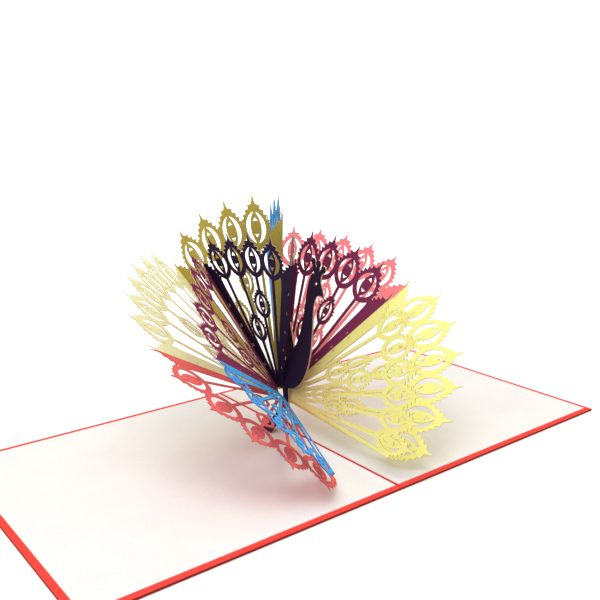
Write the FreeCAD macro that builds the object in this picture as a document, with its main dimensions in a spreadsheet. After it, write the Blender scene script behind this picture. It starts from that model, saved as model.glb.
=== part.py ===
import FreeCAD, Part
import Sketcher
import math
import os

# Pop-up card opened flat, with a cut-paper peacock standing over the fold.
# Millimetres. The origin is under the cover at the middle of the fold,
# +X runs over the right page, +Y along the fold to the far end, +Z up.

Vector = FreeCAD.Vector

os.makedirs("parts", exist_ok=True)
doc = FreeCAD.newDocument("pop_up_card")
sheet = doc.addObject("Spreadsheet::Sheet", "Sizes")
pieces = []

# Driving dimensions

SIZES = {
    # card
    "card_side": 150.0,
    "cover_thickness": 1.0,
    "score_width": 1.0,
    "score_depth": 0.25,
    "page_thickness": 0.35,
    "page_margin": 3.0,
    "page_gap": 1.8,
    "paper_thickness": 0.3,
    # fans: the hubs, measured along the fold and up from the pages
    "outer_hub_y": 14.5,
    "outer_hub_z": 15.5,
    "inner_hub_y": 13.2,
    "inner_hub_z": 17.5,
    "hub_radius": 12.0,
    "hub_hole_radius": 4.5,
    "glue_line": 0.06,
    # fans: feathers
    "outer_feather_length": 28.0,
    "inner_feather_length": 24.5,
    "outer_edge_feather_width": 8.0,
    "inner_edge_feather_width": 6.0,
    "small_feather_length": 20.0,
    "small_feather_width": 9.0,
    "feather_overlap": 0.4,
    "spike_length": 5.0,
    "tooth_depth": 1.3,
    "stalk_width": 1.7,
    "edge_strip_root": 3.0,
    "outer_edge_strip_width": 7.0,
    "inner_edge_strip_width": 5.4,
    "edge_strip_drop": 5.0,
    "seam_strip_width": 1.8,
    "slit_length": 1.8,
    "slit_width": 0.35,
    "slit_pitch": 12.0,
    "slit_inset": 1.1,
    # bird: heights are measured up from the pages
    "bird_middle_x": -0.75,
    "bird_spread": 0.25,
    "leg_fold_z": 13.0,
    "leg_top_front_y": 5.6,
    "leg_top_back_y": 9.4,
    "left_foot_x": -10.5,
    "left_foot_front_y": 7.5,
    "left_foot_back_y": 16.0,
    "right_foot_x": 7.0,
    "right_foot_front_y": 4.5,
    "right_foot_back_y": 10.0,
    "foot_tab_length": 4.0,
    "eye_radius": 0.7,
}

# Each fan is a ring of flat panels between seven ridges. A ridge is given by its
# azimuth from +Y towards +X and its rise over the card, both in degrees, and by
# how far the feathers beside it reach from the hub.
RIDGE_NAMES = (
    "seam_left", "side_left", "back_left", "middle",
    "back_right", "side_right", "seam_right",
)

RIDGES = {
    "outer": (
        (-162.0, -8.8, 92.0), (-103.7, 29.1, 106.0), (-19.5, 42.3, 104.0),
        (-151.0, 81.8, 108.0), (29.8, 48.2, 106.0), (103.4, 34.5, 104.0),
        (172.2, -9.0, 90.5),
    ),
    "inner": (
        (-159.0, -4.5, 96.0), (-120.4, 29.8, 94.0), (-56.0, 61.1, 92.5),
        (-152.3, 63.6, 97.0), (59.7, 79.6, 86.0), (161.3, 44.1, 96.0),
        (179.3, -5.6, 92.0),
    ),
}

# Panels from the left seam round to the right one, with their large feathers.
PANELS = {
    "outer": (
        ("outer_coral_left_fan", 5),
        ("outer_yellow_left_fan", 6),
        ("outer_yellow_top_fan", 4),
        ("outer_blue_top_fan", 4),
        ("outer_coral_right_fan", 5),
        ("outer_yellow_right_fan", 6),
    ),
    "inner": (
        ("inner_blue_left_fan", 5),
        ("inner_plum_left_fan", 5),
        ("inner_purple_top_fan", 4),
        ("inner_plum_top_fan", 3),
        ("inner_plum_right_fan", 4),
        ("inner_yellow_right_fan", 6),
    ),
}

for cone, ridges in RIDGES.items():
    for ridge_name, (azimuth, rise, reach) in zip(RIDGE_NAMES, ridges):
        SIZES[cone + "_" + ridge_name + "_azimuth"] = azimuth
        SIZES[cone + "_" + ridge_name + "_rise"] = rise
        SIZES[cone + "_" + ridge_name + "_reach"] = reach
for panels in PANELS.values():
    for panel_name, feathers in panels:
        SIZES[panel_name + "_feathers"] = feathers

for row, (alias, value) in enumerate(SIZES.items(), start=1):
    sheet.set("A%d" % row, alias)
    sheet.set("B%d" % row, str(value))
    sheet.setAlias("B%d" % row, alias)
doc.recompute()


def size(alias):
    return float(sheet.get(alias))


# Proportions of a feather, as shares of its length without the spike or of its width
WIDEST_AT = 0.46
SHOULDER_SHARE = 0.09
SPIKE_NECK_SHARE = 0.05
TEETH_PER_SIDE = 5
TOOTH_LEAN = 0.6
SLOT_START = 0.14
SLOT_END = 0.84
SLOT_OUTER_SHARE = 0.37
SLOT_INNER_SHARE = 0.20
SLOT_END_GAP_SHARE = 0.018
PUPIL_SHARE = 0.17
UPPER_HOLE_END = 0.72
LOWER_HOLE_END = 0.27
HOLE_HALF_SHARE = 0.11
HOLE_BULGE_SHARE = 0.3
BELLY_AT = 0.35
BELLY_SHARE = 0.74
STEM_OVERLAP_SHARE = 0.1

# A small feather's teeth and spike, as shares of a large one's
SMALL_TOOTH_SHARE = 0.7
SMALL_SPIKE_SHARE = 0.8

# Where the half feather that ends a ridge's strip is cut off, in spike lengths
STRIP_FOLD_END = 1.6
STRIP_TIP_END = 0.2
STRIP_TIP_WIDTH = 0.3
STRIP_TEETH_BACK = 0.6

# Where the small feathers on the inner stalks of a panel end, as shares of the reach
SMALL_FEATHER_ENDS = (0.56, 0.71, 0.45)

# How far a stalk or strip runs into what it grows from, so that they merge
ROOT_OVERLAP = 1.0

# The bird's side view as (y, z), from the leg's front round the chest, head and back
CHEST = (
    (1.7, 24.0), (-3.3, 27.5), (-7.6, 33.2), (-10.5, 40.3), (-12.3, 48.2),
    (-13.2, 55.8), (-13.8, 64.4), (-14.7, 71.8), (-16.7, 75.6),
)
BEAK = ((-19.4, 76.4), (-21.8, 75.6), (-20.8, 79.5), (-19.4, 82.8), (-19.8, 86.2))
CREST = ((-21.3, 89.3), (-17.8, 91.6), (-14.0, 92.2))
CREST_ROOT = (-16.4, 84.0)
CREST_KNOB_RADIUS = 1.7
CREST_STEM_WIDTH = 2.4
NECK_BACK = (
    (-13.0, 86.4), (-10.8, 82.4), (-8.9, 76.1), (-8.0, 71.1), (-6.1, 62.8),
    (-3.7, 54.2), (0.9, 45.9),
)
WING_TOP = (4.2, 58.5)
REAR = ((6.4, 46.0), (9.4, 30.0), (10.6, 22.0))
EYE = (-16.0, 81.6)
# How far below the chest the leg's front edge begins
HIP_DROP = 1.0


def unit(azimuth, rise):
    azimuth = math.radians(azimuth)
    rise = math.radians(rise)
    flat = math.cos(rise)
    return Vector(flat * math.sin(azimuth), flat * math.cos(azimuth), math.sin(rise))


def face_in(wire):
    """The face inside a wire, turned to look towards +X or +Z, so that faces merge."""
    face = Part.Face(wire)
    if face.normalAt(0, 0).dot(Vector(1, 0, 1)) < 0:
        wire.reverse()
        face = Part.Face(wire)
    return face


def closed_face(edges):
    return face_in(Part.Wire(edges))


def polygon_face(points):
    return face_in(Part.makePolygon(list(points) + [points[0]]))


def arc(first, middle, last):
    return Part.Arc(first, middle, last).toShape()


def lines(points):
    return [Part.makeLine(a, b) for a, b in zip(points[:-1], points[1:])]


# One feather, drawn along its own axis

def toothed_side(length, width, teeth, tooth_depth, spike):
    """Points from the widest place to the tip, as (along, across)."""
    body = length - spike
    widest = WIDEST_AT * body
    half = width / 2
    shoulder = SHOULDER_SHARE * width

    def rim(share):
        across = shoulder + (half - shoulder) * math.cos(share * math.pi / 2)
        return widest + (body - widest) * share, across

    points = [rim(0.0)]
    for tooth in range(teeth):
        along, across = rim((tooth + 0.5) / teeth)
        points.append((along + TOOTH_LEAN * tooth_depth, across + tooth_depth))
        points.append(rim((tooth + 1) / teeth))
    points.append((body + 0.25 * spike, SPIKE_NECK_SHARE * width))
    points.append((length, 0.0))
    return points


class Feather:
    """A feather on the ray at an angle from the hub, from radius start outwards."""

    def __init__(self, angle, start, length, width, stalk, tooth_depth, spike):
        self.angle = angle
        self.start = start
        self.length = length
        self.width = width
        self.stalk = stalk
        self.tooth_depth = tooth_depth
        self.spike = spike
        self.body = length - spike

    def at(self, along, across):
        radius = self.start + along
        cosine = math.cos(self.angle)
        sine = math.sin(self.angle)
        return Vector(radius * cosine - across * sine, radius * sine + across * cosine, 0)

    def outline(self):
        side = toothed_side(
            self.length, self.width, TEETH_PER_SIDE, self.tooth_depth, self.spike
        )
        widest, half = side[0]
        root = self.stalk / 2
        belly = (BELLY_AT * widest, root + BELLY_SHARE * (half - root))
        left = [self.at(along, across) for along, across in side]
        right = [self.at(along, -across) for along, across in reversed(side)]
        edges = [arc(self.at(0, root), self.at(*belly), left[0])]
        edges += lines(left) + lines(right)
        edges.append(arc(right[-1], self.at(belly[0], -belly[1]), self.at(0, -root)))
        edges.append(Part.makeLine(self.at(0, -root), self.at(0, root)))
        return closed_face(edges)

    def stem(self, from_radius):
        back = from_radius - self.start
        root = self.stalk / 2
        overlap = STEM_OVERLAP_SHARE * self.body
        corners = ((back, -root), (overlap, -root), (overlap, root), (back, root))
        return polygon_face([self.at(*corner) for corner in corners])

    def holes(self):
        """Two crescent slots, and a pointed hole above and below the pupil."""
        low = SLOT_START * self.body
        high = SLOT_END * self.body
        middle = (low + high) / 2
        end_gap = SLOT_END_GAP_SHARE * self.length
        cuts = []
        for turn in (1, -1):
            first = self.at(low, turn * end_gap)
            last = self.at(high, turn * end_gap)
            outside = self.at(middle, turn * SLOT_OUTER_SHARE * self.width)
            inside = self.at(middle, turn * SLOT_INNER_SHARE * self.width)
            cuts.append(closed_face([arc(first, outside, last), arc(last, inside, first)]))
        pupil = PUPIL_SHARE * self.width
        half = HOLE_HALF_SHARE * self.width
        for end, way in ((UPPER_HOLE_END, 1), (LOWER_HOLE_END, -1)):
            tip = self.at(end * self.body, 0)
            corner = middle + way * pupil
            bulge = corner + way * HOLE_BULGE_SHARE * half
            left = self.at(corner, half)
            right = self.at(corner, -half)
            edges = [
                Part.makeLine(tip, left),
                arc(left, self.at(bulge, 0), right),
                Part.makeLine(right, tip),
            ]
            cuts.append(closed_face(edges))
        return cuts


# One flat panel of a fan, drawn from its first ridge (+X) towards its second

def mirror_about(angle):
    """Maps a point near the first ridge to its mate near the ridge at this angle."""

    def mate(point):
        cosine = math.cos(angle)
        sine = math.sin(angle)
        return Vector(
            point.x * cosine + point.y * sine, point.x * sine - point.y * cosine, 0
        )

    return mate


def edge_strip(reach, feather_length, belly_width, strip_width, beyond):
    """The solid strip along a ridge, which widens outwards and ends in half a feather."""
    spike = size("spike_length")
    hole = size("hub_hole_radius")
    reach = reach - size("edge_strip_drop")
    start = reach - feather_length
    side = toothed_side(
        feather_length, 2 * belly_width, TEETH_PER_SIDE, size("tooth_depth"), spike
    )
    points = [
        Vector(hole, -beyond, 0),
        Vector(reach - STRIP_FOLD_END * spike, -beyond, 0),
        Vector(reach - STRIP_TIP_END * spike, STRIP_TIP_WIDTH * spike, 0),
    ]
    for along, across in reversed(side[:-1]):
        points.append(Vector(start + along - STRIP_TEETH_BACK * spike, across, 0))
    points.append(Vector(start, strip_width, 0))
    points.append(Vector(hole, size("edge_strip_root"), 0))
    return polygon_face(points)


def seam_strip(reach, feather_length):
    """The narrow strip along a panel's open edge, up to the last feather's root."""
    hole = size("hub_hole_radius")
    end = reach - (1 - WIDEST_AT) * feather_length
    width = size("seam_strip_width")
    return polygon_face(
        [Vector(hole, 0, 0), Vector(end, 0, 0), Vector(end, width, 0), Vector(hole, width, 0)]
    )


def strip_slits(start, end):
    """The row of short slits that marks the fold beside a ridge."""
    length = size("slit_length")
    width = size("slit_width")
    inset = size("slit_inset")
    count = int((end - start) / size("slit_pitch"))
    slits = []
    for step in range(count):
        near = start + (step + 0.5) * size("slit_pitch")
        corners = (
            Vector(near, inset, 0),
            Vector(near + length, inset, 0),
            Vector(near + length, inset + width, 0),
            Vector(near, inset + width, 0),
        )
        slits.append(corners)
    return slits


def hub_face(spread):
    """The solid sector that all stalks grow from."""
    inner = size("hub_hole_radius")
    outer = size("hub_radius")

    def on(radius, angle):
        return Vector(radius * math.cos(angle), radius * math.sin(angle), 0)

    edges = [
        Part.makeLine(on(inner, 0), on(outer, 0)),
        arc(on(outer, 0), on(outer, spread / 2), on(outer, spread)),
        Part.makeLine(on(outer, spread), on(inner, spread)),
        arc(on(inner, spread), on(inner, spread / 2), on(inner, 0)),
    ]
    return closed_face(edges)


def panel_face(cone, spread, feathers, reaches, seams):
    """The cut-out panel as one flat face; seams says which of its two edges are open."""
    length = size(cone + "_feather_length")
    spike = size("spike_length")
    stalk = size("stalk_width")
    tooth_depth = size("tooth_depth")
    root = size("hub_radius") - ROOT_OVERLAP
    widest = WIDEST_AT * (length - spike)
    widest_radius = sum(reaches) / 2 - length + widest
    edge_angles = []
    for seam in seams:
        width = size("seam_strip_width") if seam else size(cone + "_edge_feather_width")
        edge_angles.append(width / widest_radius)
    pitch = (spread - sum(edge_angles)) / feathers

    def reach_at(angle):
        return reaches[0] + (reaches[1] - reaches[0]) * angle / spread

    adds = [hub_face(spread)]
    cuts = []
    small_length = size("small_feather_length")
    small_spike = SMALL_SPIKE_SHARE * spike
    for index in range(feathers):
        angle = edge_angles[0] + (index + 0.5) * pitch
        start = reach_at(angle) - length
        width = pitch * (start + widest) + size("feather_overlap")
        grown = [Feather(angle, start, length, width, stalk, tooth_depth, spike)]
        if 0 < index < feathers - 1:
            # a small feather sits on this stalk, with the large one growing from its tip
            end = reach_at(angle) * SMALL_FEATHER_ENDS[(index - 1) % len(SMALL_FEATHER_ENDS)]
            room = 2 * (pitch * (end - small_length / 2) - stalk)
            small = Feather(
                angle, end - small_length, small_length, min(size("small_feather_width"), room),
                stalk, SMALL_TOOTH_SHARE * tooth_depth, small_spike,
            )
            grown.insert(0, small)
        stalk_from = root
        for feather in grown:
            adds.append(feather.outline())
            adds.append(feather.stem(stalk_from))
            cuts += feather.holes()
            stalk_from = feather.start + feather.body

    mates = (lambda point: point, mirror_about(spread))
    for mate, reach, seam in zip(mates, reaches, seams):
        if seam:
            strip = seam_strip(reach, length)
        else:
            strip = edge_strip(
                reach, length, size(cone + "_edge_feather_width"),
                size(cone + "_edge_strip_width"), size("paper_thickness"),
            )
            for corners in strip_slits(size("hub_radius"), reach - length):
                cuts.append(polygon_face([mate(point) for point in corners]))
        outline = [vertex.Point for vertex in strip.OuterWire.OrderedVertexes]
        adds.append(polygon_face([mate(point) for point in outline]))

    face = adds[0].multiFuse(adds[1:]).removeSplitter()
    return face.cut(cuts)


# Panels placed between their ridges

def half_space(along, away, offset, reach):
    """A block that fills the side that the unit vector away points to."""
    across = away.cross(along)
    corner = away * offset - along * reach - across * reach
    block = Part.makeBox(2 * reach, 2 * reach, reach)
    block.Placement = FreeCAD.Placement(corner, FreeCAD.Rotation(along, across, away, "XYZ"))
    return block


def panel_axes(first_ridge, second_ridge):
    normal = first_ridge.cross(second_ridge).normalize()
    return first_ridge, normal.cross(first_ridge), normal


def mitre(own_ridge, own_inward, neighbour_inward, axes, reach):
    """The block that trims a panel at the plane halfway to its neighbour."""
    away = (neighbour_inward - own_inward).normalize()

    def local(vector):
        return Vector(*[vector.dot(axis) for axis in axes])

    return half_space(local(own_ridge), local(away), -size("glue_line") / 2, 2 * reach)


def inward(ridge, other_ridge):
    """The direction in a panel's plane that leaves one ridge for the other."""
    return (other_ridge - ridge * other_ridge.dot(ridge)).normalize()


def make_fan(cone):
    """Builds the six panels of one cone as separate folded-together sheets."""
    thickness = size("paper_thickness")
    page_top = size("cover_thickness") + size("page_thickness")
    hub = Vector(0, size(cone + "_hub_y"), page_top + size(cone + "_hub_z"))
    ridges = []
    reaches = []
    for ridge_name in RIDGE_NAMES:
        alias = cone + "_" + ridge_name
        ridges.append(unit(size(alias + "_azimuth"), size(alias + "_rise")))
        reaches.append(size(alias + "_reach"))
    reach = max(reaches)
    panels = PANELS[cone]
    for index, (name, _) in enumerate(panels):
        first, second = ridges[index], ridges[index + 1]
        axes = panel_axes(first, second)
        seams = (index == 0, index == len(panels) - 1)
        face = panel_face(
            cone, first.getAngle(second), int(size(name + "_feathers")),
            reaches[index:index + 2], seams,
        )
        face.translate(Vector(0, 0, -thickness / 2))
        solid = face.extrude(Vector(0, 0, thickness))
        if seams[0]:
            trim = half_space(Vector(1, 0, 0), Vector(0, -1, 0), 0, 2 * reach)
        else:
            trim = mitre(
                first, inward(first, second), inward(first, ridges[index - 1]), axes, reach
            )
        solid = solid.cut(trim)
        if seams[1]:
            spread = first.getAngle(second)
            along = Vector(math.cos(spread), math.sin(spread), 0)
            away = Vector(-math.sin(spread), math.cos(spread), 0)
            trim = half_space(along, away, 0, 2 * reach)
        else:
            trim = mitre(
                second, inward(second, first), inward(second, ridges[index + 2]), axes, reach
            )
        solid = solid.cut(trim)
        add_sheet(name, solid, FreeCAD.Placement(hub, FreeCAD.Rotation(*axes, "XYZ")))


def add_sheet(name, shape, placement):
    """Keeps a cut-paper piece in the document as one solid."""
    if len(shape.Solids) != 1:
        raise RuntimeError(name + " has come apart")
    piece = doc.addObject("Part::Feature", name)
    piece.Label = name
    piece.Shape = shape.Solids[0]
    piece.Placement = placement
    pieces.append(piece)


# The bird: two like sides glued together at the crest, each with a leg and a foot tab

def bird_point(point):
    return Vector(0, point[0], point[1])


def bird_outline():
    """The body in the plane x = 0, from the leg fold up."""
    fold = size("leg_fold_z")
    front = (size("leg_top_front_y"), fold)
    back = (size("leg_top_back_y"), fold)
    chest = Part.BSplineCurve()
    chest.interpolate([bird_point(point) for point in CHEST])
    neck = Part.BSplineCurve()
    neck.interpolate([bird_point(point) for point in NECK_BACK])
    hip = (front[0], CHEST[0][1] - HIP_DROP)
    edges = lines([bird_point(point) for point in (front, hip, CHEST[0])])
    edges.append(chest.toShape())
    edges += lines([bird_point(point) for point in (CHEST[-1],) + BEAK + (NECK_BACK[0],)])
    edges.append(neck.toShape())
    rest = (NECK_BACK[-1], WING_TOP) + REAR + (back, front)
    edges += lines([bird_point(point) for point in rest])
    return closed_face(edges)


def crest_faces():
    """Three knobs on short stems over the head."""
    root = bird_point(CREST_ROOT)
    faces = []
    for tip in CREST:
        centre = bird_point(tip)
        along = (centre - root).normalize()
        across = Vector(0, -along.z, along.y) * (CREST_STEM_WIDTH / 2)
        faces.append(polygon_face([root - across, centre - across, centre + across, root + across]))
        ring = Part.makeCircle(CREST_KNOB_RADIUS, centre, Vector(1, 0, 0))
        faces.append(closed_face([ring]))
    return faces


def slab(points, thickness_vector):
    return polygon_face(points).extrude(thickness_vector)


def bird_side(turn):
    """One side of the bird; turn is -1 on the left and 1 on the right."""
    thickness = size("paper_thickness")
    side = "left" if turn < 0 else "right"
    fold = size("leg_fold_z")
    page_top = size("cover_thickness") + size("page_thickness")
    crest_top = CREST[-1][1] + CREST_KNOB_RADIUS

    flat = bird_outline().multiFuse(crest_faces()).removeSplitter()
    eye = closed_face([Part.makeCircle(size("eye_radius"), bird_point(EYE), Vector(1, 0, 0))])
    body = flat.cut(eye).extrude(Vector(turn * thickness, 0, 0))
    lean = math.degrees(math.atan2(size("bird_spread"), crest_top - fold))
    body.rotate(Vector(0, 0, crest_top), Vector(0, 1, 0), -turn * lean)
    middle = size("bird_middle_x")
    body.translate(Vector(middle, 0, page_top))

    # the leg is a flat strip from the fold under the body to the page
    knee = middle + turn * size("bird_spread")
    foot = size(side + "_foot_x")
    top = (size("leg_top_front_y"), size("leg_top_back_y"))
    low = (size(side + "_foot_front_y"), size(side + "_foot_back_y"))
    rise = page_top + fold + thickness
    drop = page_top + thickness / 2
    thick = Vector(turn * thickness, 0, 0)
    leg = slab(
        [
            Vector(knee, top[0], rise), Vector(knee, top[1], rise),
            Vector(foot, low[1], drop), Vector(foot, low[0], drop),
        ],
        thick,
    )
    # the foot tab turns back under the bird and lies on the page
    toe = foot - turn * size("foot_tab_length")
    heel = foot + turn * thickness
    tab = slab(
        [
            Vector(heel, low[0], page_top), Vector(heel, low[1], page_top),
            Vector(toe, low[1], page_top), Vector(toe, low[0], page_top),
        ],
        Vector(0, 0, thickness),
    )
    return body.multiFuse([leg, tab]).removeSplitter()


# Card: a folded cover with a page glued on each side of the fold

# The side that a rectangle is first drawn with, before its sizes are bound
DRAFT_SIDE = 20.0


def make_cover():
    body = doc.addObject("PartDesign::Body", "cover_card")
    body.Label = "cover_card"
    ground = [f for f in body.Origin.OriginFeatures if f.Role == "XY_Plane"][0]

    def rectangle(name, size_x, size_y):
        sketch = body.newObject("Sketcher::SketchObject", name)
        sketch.AttachmentSupport = [(ground, "")]
        sketch.MapMode = "FlatFace"
        corners = [(-1, -1), (1, -1), (1, 1), (-1, 1)]
        points = [Vector(DRAFT_SIDE / 2 * x, DRAFT_SIDE / 2 * y, 0) for x, y in corners]
        for index in range(4):
            sketch.addGeometry(Part.LineSegment(points[index], points[(index + 1) % 4]))
        for index in range(4):
            sketch.addConstraint(Sketcher.Constraint("Coincident", index, 2, (index + 1) % 4, 1))
        for index, kind in enumerate(("Horizontal", "Vertical", "Horizontal", "Vertical")):
            sketch.addConstraint(Sketcher.Constraint(kind, index))
        sketch.addConstraint(Sketcher.Constraint("Symmetric", 0, 1, 1, 2, -1, 1))
        across = sketch.addConstraint(Sketcher.Constraint("DistanceX", 0, 1, 0, 2, DRAFT_SIDE))
        along = sketch.addConstraint(Sketcher.Constraint("DistanceY", 1, 1, 1, 2, DRAFT_SIDE))
        sketch.setExpression("Constraints[%d]" % across, size_x)
        sketch.setExpression("Constraints[%d]" % along, size_y)
        return sketch

    outline = rectangle("cover_outline", "2 * Sizes.card_side", "Sizes.card_side")
    board = body.newObject("PartDesign::Pad", "cover_board")
    board.Profile = outline
    board.setExpression("Length", "Sizes.cover_thickness")
    score_outline = rectangle("score_outline", "Sizes.score_width", "Sizes.card_side + 2")
    score_outline.setExpression(
        ".AttachmentOffset.Base.z", "Sizes.cover_thickness - Sizes.score_depth"
    )
    score = body.newObject("PartDesign::Pocket", "fold_score")
    score.Profile = score_outline
    score.Reversed = True
    score.setExpression("Length", "2 * Sizes.score_depth")
    body.Tip = score
    pieces.append(body)


def make_page(name, side):
    page = doc.addObject("Part::Box", name)
    page.Label = name
    page.setExpression("Length", "Sizes.card_side - Sizes.page_margin - Sizes.page_gap / 2")
    page.setExpression("Width", "Sizes.card_side - 2 * Sizes.page_margin")
    page.setExpression("Height", "Sizes.page_thickness")
    if side == "left":
        page.setExpression(".Placement.Base.x", "Sizes.page_margin - Sizes.card_side")
    else:
        page.setExpression(".Placement.Base.x", "Sizes.page_gap / 2")
    page.setExpression(".Placement.Base.y", "Sizes.page_margin - Sizes.card_side / 2")
    page.setExpression(".Placement.Base.z", "Sizes.cover_thickness")
    pieces.append(page)


make_cover()
make_page("left_page", "left")
make_page("right_page", "right")
add_sheet("bird_left_side", bird_side(-1), FreeCAD.Placement())
add_sheet("bird_right_side", bird_side(1), FreeCAD.Placement())
make_fan("outer")
make_fan("inner")

doc.recompute()
for item in doc.Objects:
    if "Invalid" in item.State or "Error" in item.State:
        raise RuntimeError(item.Name + " failed to build")
for piece in pieces:
    if piece.Shape.isNull() or not piece.Shape.isValid():
        raise RuntimeError(piece.Label + " has no valid shape")
for piece in pieces:
    piece.Shape.exportStep("parts/" + piece.Label + ".step")
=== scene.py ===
import bpy
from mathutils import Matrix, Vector


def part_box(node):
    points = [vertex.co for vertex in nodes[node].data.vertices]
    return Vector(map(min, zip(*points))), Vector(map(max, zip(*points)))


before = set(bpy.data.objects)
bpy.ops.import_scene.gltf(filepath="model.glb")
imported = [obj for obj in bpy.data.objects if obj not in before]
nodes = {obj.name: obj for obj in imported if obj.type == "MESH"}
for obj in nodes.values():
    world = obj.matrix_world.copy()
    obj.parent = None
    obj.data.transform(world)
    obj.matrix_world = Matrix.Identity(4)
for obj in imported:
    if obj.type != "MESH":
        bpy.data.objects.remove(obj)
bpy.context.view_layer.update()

PAGE_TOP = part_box("left_page")[1][2]
UP = Vector((0, 0, 1))
LEFT = Vector((-1, 0, 0))
WHITE = (1.0, 1.0, 1.0, 1.0)

# Camera as the photograph was taken, over the pages' upper side

FOCAL_PIXELS = 780
PICTURE_PIXELS = 600
SENSOR = 36.0
CLIP_START = 0.01
CAMERA_PLACE = Vector((-0.23040, -0.29426, 0.16280 + PAGE_TOP))
CAMERA_LOOK = Vector((0.60159, 0.76198, -0.23972))

# Colours of the papers as they look in plain light, 0 to 255, and lighter and darker copies of some of
# them that paint light and shade onto a panel

RED = (244, 68, 58)
CORAL = (252, 104, 99)
# The same coral paper painted lighter: painted light on the right panel
CORAL_PAINTED_LIT = (252, 134, 140)
YELLOW = (255, 246, 150)
# The same yellow paper painted paler: painted light on the left panel
YELLOW_PAINTED_LIT = (255, 250, 190)
# The yellow paper painted darker: painted shade on the tall panel's side towards -X
YELLOW_PAINTED_SHADE = (188, 172, 76)
APRICOT = (255, 222, 142)
BLUE = (72, 168, 246)
PLUM = (130, 45, 86)
# The plum paper painted nearly black: painted shade on the top inner panel
PLUM_PAINTED_SHADE = (38, 22, 54)
BIRD = (42, 22, 52)
SALMON = (236, 168, 134)
PAGE = (243, 242, 240)
# A pale painted highlight on cut edges, where no edge colour is given
CUT_EDGE_PAINTED_HIGHLIGHT = (222, 184, 158)

# The colour of each fan panel of one colour, some of them lighter and darker copies with painted light
# and painted shade

SHEETS = {
    "outer_coral_left_fan": CORAL,
    "outer_yellow_left_fan": YELLOW_PAINTED_LIT,
    "outer_blue_top_fan": BLUE,
    "outer_coral_right_fan": CORAL_PAINTED_LIT,
    "outer_yellow_right_fan": YELLOW,
    "inner_blue_left_fan": BLUE,
    "inner_plum_left_fan": PLUM,
    "inner_purple_top_fan": PLUM_PAINTED_SHADE,
    "inner_plum_top_fan": PLUM,
    "inner_plum_right_fan": PLUM,
    "inner_yellow_right_fan": YELLOW,
}

# The tall yellow panel, whose side towards -X is painted olive as shade, though its paper is yellow on
# both sides
SHADE_PAINTED_SHEET = "outer_yellow_top_fan"

# How much light passes through each paper
GLOWS = {CORAL: 0.7, CORAL_PAINTED_LIT: 0.4, YELLOW: 0.3, YELLOW_PAINTED_LIT: 0.7, BLUE: 0.3, PLUM: 0.2, PLUM_PAINTED_SHADE: 0.0}

# The cut edges of the bright papers; those of the others get the pale painted highlight
EDGES = {
    CORAL: (176, 60, 54),
    CORAL_PAINTED_LIT: (190, 84, 84),
    YELLOW: (150, 134, 72),
    YELLOW_PAINTED_LIT: (190, 176, 110),
    BLUE: (30, 96, 166),
}

# Paper, with its noise scales per metre

GRAIN_SCALE = 900.0
GRAIN_DETAIL = 6.0
FLECK_SCALE = 3200.0
FLECK_DETAIL = 3.0
CLOUD_SCALE = 28.0
CLOUD_DETAIL = 2.0
NOISE_ROUGHNESS = 0.6

# The mottled colour is so much grain, and clouds for the rest
MOTTLE_GRAIN = 0.6
MOTTLE_RANGE = (0.35, 0.65)
PAPER_TINT = 0.03
PAGE_TINT = 0.012
COVER_TINT = 0.04

FLECK_RANGE = (0.3, 0.7)
ROUGHNESS_RANGE = (0.76, 0.88)
GLOSS = 0.25
GLOW_RADIUS = (1.0, 0.6, 0.45)
GLOW_SCALE = 0.0008

RELIEF_DEPTH = 0.0002
RELIEF_FLECK = 0.5
PAPER_BUMP = 0.12
PAGE_BUMP = 0.08

# How far a surface looks along the sheet's normal, where it turns from one side to the other,
# and where it turns from a cut edge to a side
SIDE_RANGE = (-0.1, 0.1)
CUT_RANGE = (0.35, 0.65)
# The cover's cut edges are painted a darker red as shade; the pages' a little darker
COVER_EDGE_PAINTED_SHADE = 0.55
PAGE_EDGE_SHADE = 0.95

# Faces this nearly parallel to a sheet's largest face belong to its sides
SIDE_FACE_COSINE = 0.9

# The middle of the fans' hubs, and how far from it the root colour reaches
HUB = Vector((0.0, 0.014, PAGE_TOP + 0.0165))
ROOT_COLOUR_FULL = 0.012
ROOT_COLOUR_GONE = 0.062

# Floor, white from FLOOR_FAR on, past the object's shadow

FLOOR_SIDE = 12.0
FLOOR_HEIGHT = -0.0002
FLOOR_DARK = (246, 246, 246)
FLOOR_LIGHT = (251, 251, 251)
FLOOR_TONE_SCALE = 4.0
FLOOR_TONE_DETAIL = 2.0
FLOOR_ROUGHNESS = 0.9
FLOOR_NEAR = 0.2
FLOOR_FAR = 0.5
FLOOR_NEAR_GLOW = 0.12

# A soft lamp overhead

KEY_PLACE = Vector((-0.25, -0.1, 1.15))
KEY_AIM = Vector((0.0, 0.0, 0.04))
KEY_POWER = 5.7
KEY_SIDE = 0.8

# Dome of light, brightest round its axis, and warm where it is dim

DOME_AXIS = Vector((-0.22, -0.1, 0.97))
DOME_RANGE = (0.1, 0.9)
DOME_DIM = 0.38
DOME_BRIGHT = 0.97
DOME_WARM = (1.0, 0.81, 0.71, 1.0)


def linear(colour):
    """A 0 to 255 colour as the renderer's linear values, with alpha."""
    parts = []
    for value in colour:
        value = value / 255
        parts.append(value / 12.92 if value <= 0.04045 else ((value + 0.055) / 1.055) ** 2.4)
    return (*parts, 1.0)


def shade(colour, factor):
    return tuple(min(255, value * factor) for value in colour)


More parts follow.
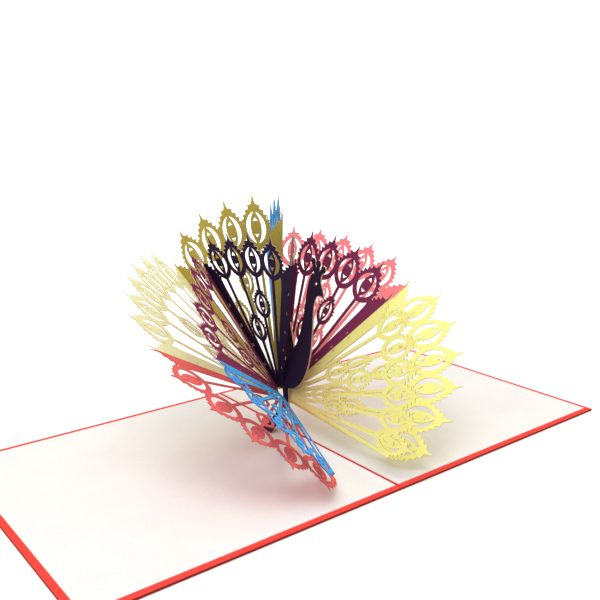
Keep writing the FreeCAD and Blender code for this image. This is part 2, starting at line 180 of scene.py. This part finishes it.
class Nodes:
    """A short way to write the node tree of a material or the world."""

    def __init__(self, owner):
        owner.use_nodes = True
        self.tree = owner.node_tree
        self.tree.nodes.clear()

    def add(self, kind, **settings):
        node = self.tree.nodes.new(kind)
        for name, value in settings.items():
            setattr(node, name, value)
        return node

    def link(self, output, socket):
        self.tree.links.new(output, socket)

    def noise(self, place, scale, detail):
        node = self.add("ShaderNodeTexNoise")
        node.inputs["Scale"].default_value = scale
        node.inputs["Detail"].default_value = detail
        node.inputs["Roughness"].default_value = NOISE_ROUGHNESS
        self.link(place, node.inputs["Vector"])
        return node.outputs["Fac"]

    def ramp(self, value, low, high, first, last):
        """A smooth change from first, where the value is low, to last, where it is high."""
        node = self.add("ShaderNodeMapRange", interpolation_type="SMOOTHSTEP")
        for name, number in (("From Min", low), ("From Max", high), ("To Min", first), ("To Max", last)):
            node.inputs[name].default_value = number
        self.link(value, node.inputs["Value"])
        return node.outputs["Result"]

    def math(self, operation, first, second=None):
        node = self.add("ShaderNodeMath", operation=operation)
        for socket, value in zip(node.inputs, (first, second)):
            if value is None:
                continue
            if isinstance(value, (int, float)):
                socket.default_value = value
            else:
                self.link(value, socket)
        return node.outputs["Value"]

    def mix(self, factor, first, second):
        """The first colour where the factor is 0, and the second where it is 1."""
        node = self.add("ShaderNodeMix", data_type="RGBA")
        self.link(factor, node.inputs["Factor"])
        for socket, value in ((node.inputs[6], first), (node.inputs[7], second)):
            if isinstance(value, tuple):
                socket.default_value = value
            else:
                self.link(value, socket)
        return node.outputs[2]

    def background_ray(self):
        """1 for rays that show the background as it is: seen straight, in gloss or through glass."""
        path = self.add("ShaderNodeLightPath")
        seen = self.math("MAXIMUM", path.outputs["Is Camera Ray"], path.outputs["Is Glossy Ray"])
        return self.math("MAXIMUM", seen, path.outputs["Is Transmission Ray"])

    def facing(self, direction):
        """How far the surface looks along a direction, from -1 to 1."""
        geometry = self.add("ShaderNodeNewGeometry")
        dot = self.add("ShaderNodeVectorMath", operation="DOT_PRODUCT")
        self.link(geometry.outputs["True Normal"], dot.inputs[0])
        dot.inputs[1].default_value = direction
        return dot.outputs["Value"]

    def near_hub(self, place):
        """1 round the fans' hubs, and 0 from ROOT_COLOUR_GONE on."""
        from_hub = self.add("ShaderNodeVectorMath", operation="DISTANCE")
        self.link(place, from_hub.inputs[0])
        from_hub.inputs[1].default_value = HUB
        return self.ramp(from_hub.outputs["Value"], ROOT_COLOUR_FULL, ROOT_COLOUR_GONE, 1, 0)

    def mottled(self, mottle, colour, tint):
        """A colour that is a little darker and lighter from place to place."""
        return self.mix(mottle, linear(shade(colour, 1 - tint)), linear(shade(colour, 1 + tint)))


def paper(
    name, colour, normal, edge=CUT_EDGE_PAINTED_HIGHLIGHT, reverse=None, root=None,
    bump=PAPER_BUMP, tint=PAPER_TINT, glow=0.0,
):
    """Paper with a fibre grain, whose cut edges have another colour, edge; by default a pale painted
    highlight.

    reverse is the colour of the other side: for the bird the salmon back of its paper,
    and for the tall yellow sheet painted shade. root is a colour that the sheet turns to near the fans'
    hubs.
    bump is how strong the grain's relief is, tint is how far the colour varies, and glow
    is how much light passes through the sheet.
    """
    material = bpy.data.materials.new(name)
    tree = Nodes(material)
    place = tree.add("ShaderNodeTexCoord").outputs["Object"]
    grain = tree.noise(place, GRAIN_SCALE, GRAIN_DETAIL)
    fleck = tree.noise(place, FLECK_SCALE, FLECK_DETAIL)
    cloud = tree.noise(place, CLOUD_SCALE, CLOUD_DETAIL)

    grain_part = tree.math("MULTIPLY", grain, MOTTLE_GRAIN)
    cloud_part = tree.math("MULTIPLY", cloud, 1 - MOTTLE_GRAIN)
    mottle = tree.ramp(tree.math("ADD", grain_part, cloud_part), *MOTTLE_RANGE, 0, 1)
    face = tree.mottled(mottle, colour, tint)
    if root is not None:
        face = tree.mix(tree.near_hub(place), face, tree.mottled(mottle, root, tint))
    along = tree.facing(normal)
    if reverse is not None:
        turned = tree.ramp(along, *SIDE_RANGE, 1, 0)
        face = tree.mix(turned, face, tree.mottled(mottle, reverse, tint))
    cut = tree.ramp(tree.math("ABSOLUTE", along), *CUT_RANGE, 1, 0)

    shader = tree.add("ShaderNodeBsdfPrincipled")
    tree.link(tree.mix(cut, face, linear(edge)), shader.inputs["Base Color"])
    tree.link(tree.ramp(fleck, *FLECK_RANGE, *ROUGHNESS_RANGE), shader.inputs["Roughness"])
    shader.inputs["Specular IOR Level"].default_value = GLOSS
    shader.inputs["Subsurface Weight"].default_value = glow
    shader.inputs["Subsurface Radius"].default_value = GLOW_RADIUS
    shader.inputs["Subsurface Scale"].default_value = GLOW_SCALE

    relief = tree.add("ShaderNodeBump")
    relief.inputs["Strength"].default_value = bump
    relief.inputs["Distance"].default_value = RELIEF_DEPTH
    height = tree.math("ADD", grain, tree.math("MULTIPLY", fleck, RELIEF_FLECK))
    tree.link(height, relief.inputs["Height"])
    tree.link(relief.outputs["Normal"], shader.inputs["Normal"])

    output = tree.add("ShaderNodeOutputMaterial")
    tree.link(shader.outputs["BSDF"], output.inputs["Surface"])
    return material


def sheet_normal(name):
    """The side that a flat sheet's largest faces look to, turned upwards."""
    polygons = nodes[name].data.polygons
    largest = max(polygons, key=lambda polygon: polygon.area)
    total = Vector((0, 0, 0))
    for polygon in polygons:
        cosine = polygon.normal.dot(largest.normal)
        if abs(cosine) > SIDE_FACE_COSINE:
            sign = 1 if cosine > 0 else -1
            total += polygon.normal * sign * polygon.area
    normal = total.normalized()
    return normal if normal.z >= 0 else -normal


def dress(name, *looks, **more_looks):
    """Give a CAD node its own paper."""
    mesh = nodes[name].data
    mesh.materials.clear()
    mesh.materials.append(paper(name + "_paper", *looks, **more_looks))


def dress_card():
    # The cover's cut edges get painted shade, a darker red
    dress("cover_card", RED, UP, edge=shade(RED, COVER_EDGE_PAINTED_SHADE), tint=COVER_TINT)
    page_edge = shade(PAGE, PAGE_EDGE_SHADE)
    for name in ("left_page", "right_page"):
        dress(name, PAGE, UP, edge=page_edge, bump=PAGE_BUMP, tint=PAGE_TINT)


def dress_bird():
    """The bird is dark outside, and its right side's inner face is salmon."""
    dress("bird_left_side", BIRD, LEFT)
    dress("bird_right_side", BIRD, -LEFT, reverse=SALMON)


def dress_fans():
    """Yellow sheets turn to apricot near the hub, and the tall one has painted shade, olive, on its side
    towards -X.
    """
    for name, colour in SHEETS.items():
        root = APRICOT if colour == YELLOW else None
        edge = EDGES.get(colour, CUT_EDGE_PAINTED_HIGHLIGHT)
        dress(name, colour, sheet_normal(name), edge=edge, root=root, glow=GLOWS[colour])
    right_side = sheet_normal(SHADE_PAINTED_SHEET)
    if right_side.x < 0:
        right_side = -right_side
    # The tall sheet's side towards -X gets painted shade, olive
    dress(SHADE_PAINTED_SHEET, YELLOW, right_side, reverse=YELLOW_PAINTED_SHADE)


def add_floor():
    """A pale floor, which keeps the object's shadow and glows white further out."""
    bpy.ops.mesh.primitive_plane_add(size=FLOOR_SIDE, location=(0, 0, FLOOR_HEIGHT))
    floor = bpy.context.object
    floor.name = "studio_floor"
    material = bpy.data.materials.new("studio_floor")
    tree = Nodes(material)
    place = tree.add("ShaderNodeTexCoord").outputs["Object"]
    tone = tree.noise(place, FLOOR_TONE_SCALE, FLOOR_TONE_DETAIL)
    shader = tree.add("ShaderNodeBsdfPrincipled")
    tree.link(tree.mix(tone, linear(FLOOR_DARK), linear(FLOOR_LIGHT)), shader.inputs["Base Color"])
    shader.inputs["Roughness"].default_value = FLOOR_ROUGHNESS

    away = tree.add("ShaderNodeVectorMath", operation="LENGTH")
    tree.link(place, away.inputs[0])
    lift = tree.ramp(away.outputs["Value"], FLOOR_NEAR, FLOOR_FAR, FLOOR_NEAR_GLOW, 1.0)
    glow = tree.add("ShaderNodeEmission")
    glow.inputs["Color"].default_value = WHITE
    tree.link(tree.math("MULTIPLY", tree.background_ray(), lift), glow.inputs["Strength"])

    total = tree.add("ShaderNodeAddShader")
    tree.link(shader.outputs["BSDF"], total.inputs[0])
    tree.link(glow.outputs["Emission"], total.inputs[1])
    output = tree.add("ShaderNodeOutputMaterial")
    tree.link(total.outputs["Shader"], output.inputs["Surface"])
    floor.data.materials.append(material)


def add_key_light():
    data = bpy.data.lights.new("key", "AREA")
    data.energy = KEY_POWER
    data.shape = "SQUARE"
    data.size = KEY_SIDE
    lamp = bpy.data.objects.new("key", data)
    lamp.location = KEY_PLACE
    lamp.rotation_euler = (KEY_AIM - KEY_PLACE).to_track_quat("-Z", "Y").to_euler()
    bpy.context.scene.collection.objects.link(lamp)


def add_dome():
    """A wide soft dome of light, bright overhead and dim near the floor, before a white background."""
    world = bpy.data.worlds.new("studio")
    bpy.context.scene.world = world
    tree = Nodes(world)
    height = tree.add("ShaderNodeVectorMath", operation="DOT_PRODUCT")
    tree.link(tree.add("ShaderNodeTexCoord").outputs["Generated"], height.inputs[0])
    height.inputs[1].default_value = DOME_AXIS
    level = tree.ramp(height.outputs["Value"], *DOME_RANGE, 0, 1)
    light = tree.math("ADD", tree.math("MULTIPLY", level, DOME_BRIGHT - DOME_DIM), DOME_DIM)
    tint = tree.mix(level, DOME_WARM, WHITE)

    seen = tree.background_ray()
    unseen_light = tree.math("MULTIPLY", light, tree.math("SUBTRACT", 1.0, seen))
    background = tree.add("ShaderNodeBackground")
    tree.link(tree.mix(seen, tint, WHITE), background.inputs["Color"])
    tree.link(tree.math("ADD", seen, unseen_light), background.inputs["Strength"])
    output = tree.add("ShaderNodeOutputWorld")
    tree.link(background.outputs["Background"], output.inputs["Surface"])


def add_camera():
    data = bpy.data.cameras.new("photo_camera")
    data.sensor_width = SENSOR
    data.lens = SENSOR * FOCAL_PIXELS / PICTURE_PIXELS
    data.clip_start = CLIP_START
    camera = bpy.data.objects.new("photo_camera", data)
    camera.location = CAMERA_PLACE
    camera.rotation_euler = CAMERA_LOOK.to_track_quat("-Z", "Y").to_euler()
    bpy.context.scene.collection.objects.link(camera)
    bpy.context.scene.camera = camera


dress_card()
dress_bird()
dress_fans()
add_floor()
add_key_light()
add_dome()
add_camera()
bpy.context.scene.view_settings.view_transform = "Standard"
